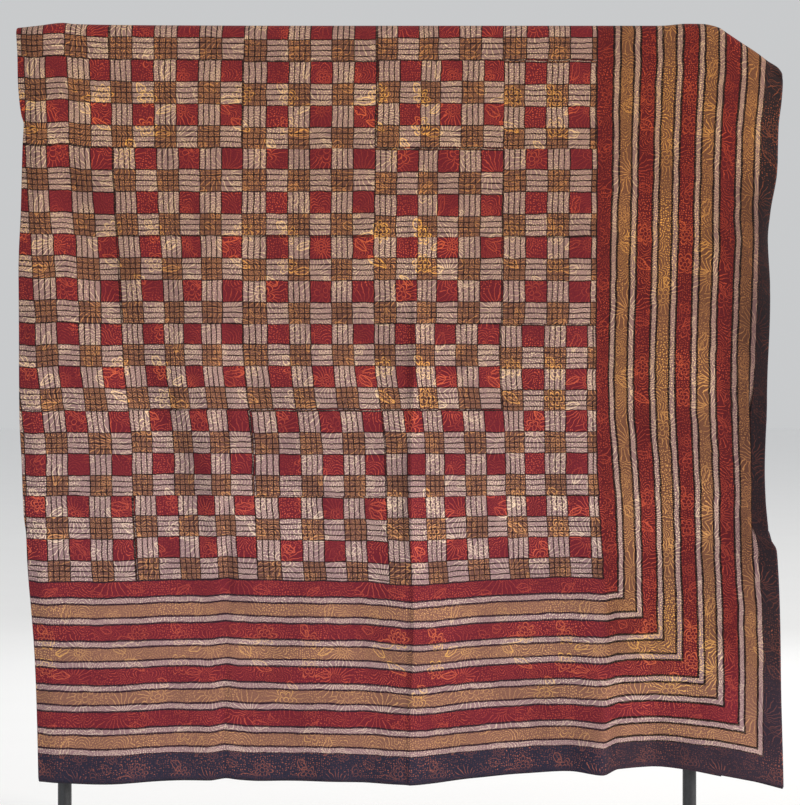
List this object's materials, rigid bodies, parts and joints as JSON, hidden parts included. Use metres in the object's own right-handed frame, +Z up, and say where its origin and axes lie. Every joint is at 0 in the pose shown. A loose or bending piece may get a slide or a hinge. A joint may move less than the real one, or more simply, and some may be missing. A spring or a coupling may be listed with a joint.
{
  "type": "block-printed bedspread over a rail stand",
  "caption": "Block-printed cotton bedspread, folded lengthwise and hung over a plain black rail stand, with a checked middle, a striped mitred border and a dark hem band.",
  "frame": {"origin": "on the floor, under the middle of the whole object's box", "axes": "+Z up, +Y away from the viewer so the printed front faces -Y, +X to the right seen from the front"},
  "size_m": [1.2272, 0.46, 1.5103],
  "materials": {
    "printed_cotton": "matte printed cotton",
    "black_paint": "satin black"
  },
  "bodies": {
    "root": {"bedspread": "printed_cotton", "top_rail": "black_paint", "left_post": "black_paint", "right_post": "black_paint", "left_foot": "black_paint", "right_foot": "black_paint"}
  },
  "joints": []
}
